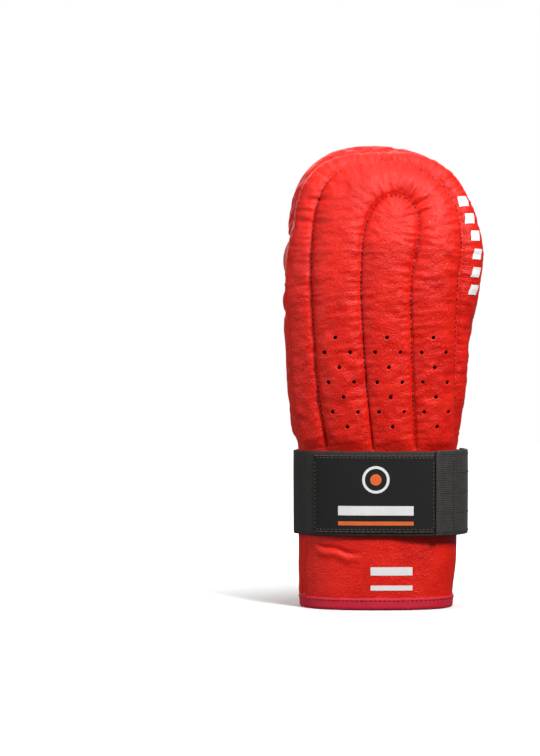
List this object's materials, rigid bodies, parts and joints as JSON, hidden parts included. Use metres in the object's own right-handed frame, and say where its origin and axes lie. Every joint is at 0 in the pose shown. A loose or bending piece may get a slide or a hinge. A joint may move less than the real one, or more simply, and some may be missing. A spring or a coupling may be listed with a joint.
{
  "type": "bag mitt",
  "caption": "Padded leather bag mitt for the right hand, with a quilted back, mesh palm, grip roll, separate thumb and a hook-and-loop wrist strap.",
  "frame": {"origin": "centre of the cuff's mouth, in the plane of its hem", "axes": "+Z from the hem towards the fingertips, -Y out of the padded back of the hand, +Y out of the palm, -X the thumb side, +X the little-finger side"},
  "size_m": [0.1204, 0.0935, 0.28],
  "materials": {
    "red_leather": "lightly glossy, fine pebble grain",
    "foam": "closed-cell foam",
    "lining": "smooth woven lining",
    "spacer_mesh": "open spacer mesh",
    "binding": "woven tape",
    "elastic": "ribbed elastic webbing",
    "loop_pile": "soft loop pile",
    "label": "woven label",
    "grey_webbing": "matt webbing",
    "hook_pile": "nylon hooks"
  },
  "bodies": {
    "mitt": {"back_leather": "red_leather", "centre_channel_foam": "foam", "arch_channel_foam": "foam", "rim_foam": "foam", "cuff_foam": "foam", "base_foam": "foam", "back_lining": "lining", "fingertip_leather": "red_leather", "fingertip_foam": "foam", "grip_roll_leather": "red_leather", "grip_bar_foam": "foam", "palm_mesh": "spacer_mesh", "palm_padding": "foam", "thumb_side_leather": "red_leather", "palm_leather": "red_leather", "thumb_gusset": "red_leather", "palm_lining": "lining", "edge_binding": "binding", "thumb_base_leather": "red_leather", "thumb_base_lining": "lining", "elastic_band": "elastic", "loop_tape": "loop_pile"},
    "thumb": {"thumb_outer_leather": "red_leather", "thumb_inner_leather": "red_leather", "thumb_padding": "foam", "thumb_lining": "lining"},
    "strap_front": {"front_band": "elastic", "woven_label": "label"},
    "strap_tab": {"pull_tab": "grey_webbing", "hook_tape": "hook_pile"}
  },
  "joints": [
    {"name": "strap_open", "type": "hinge", "parent": "mitt", "child": "strap_front", "pos_m": [-0.05003, -0.00574, 0.07], "axis": [0, 0, -1], "range_deg": [0, 140]},
    {"name": "tab_peel", "type": "hinge", "parent": "strap_front", "child": "strap_tab", "pos_m": [0.03653, -0.03161, 0.0705], "axis": [0, 0, -1], "range_deg": [0, 80]},
    {"name": "thumb_swing", "type": "hinge", "parent": "mitt", "child": "thumb", "pos_m": [-0.054, 0.0191, 0.14], "axis": [0, 0, 1], "range_deg": [0, 45], "stiffness_Nm_per_rad": 0.2}
  ]
}
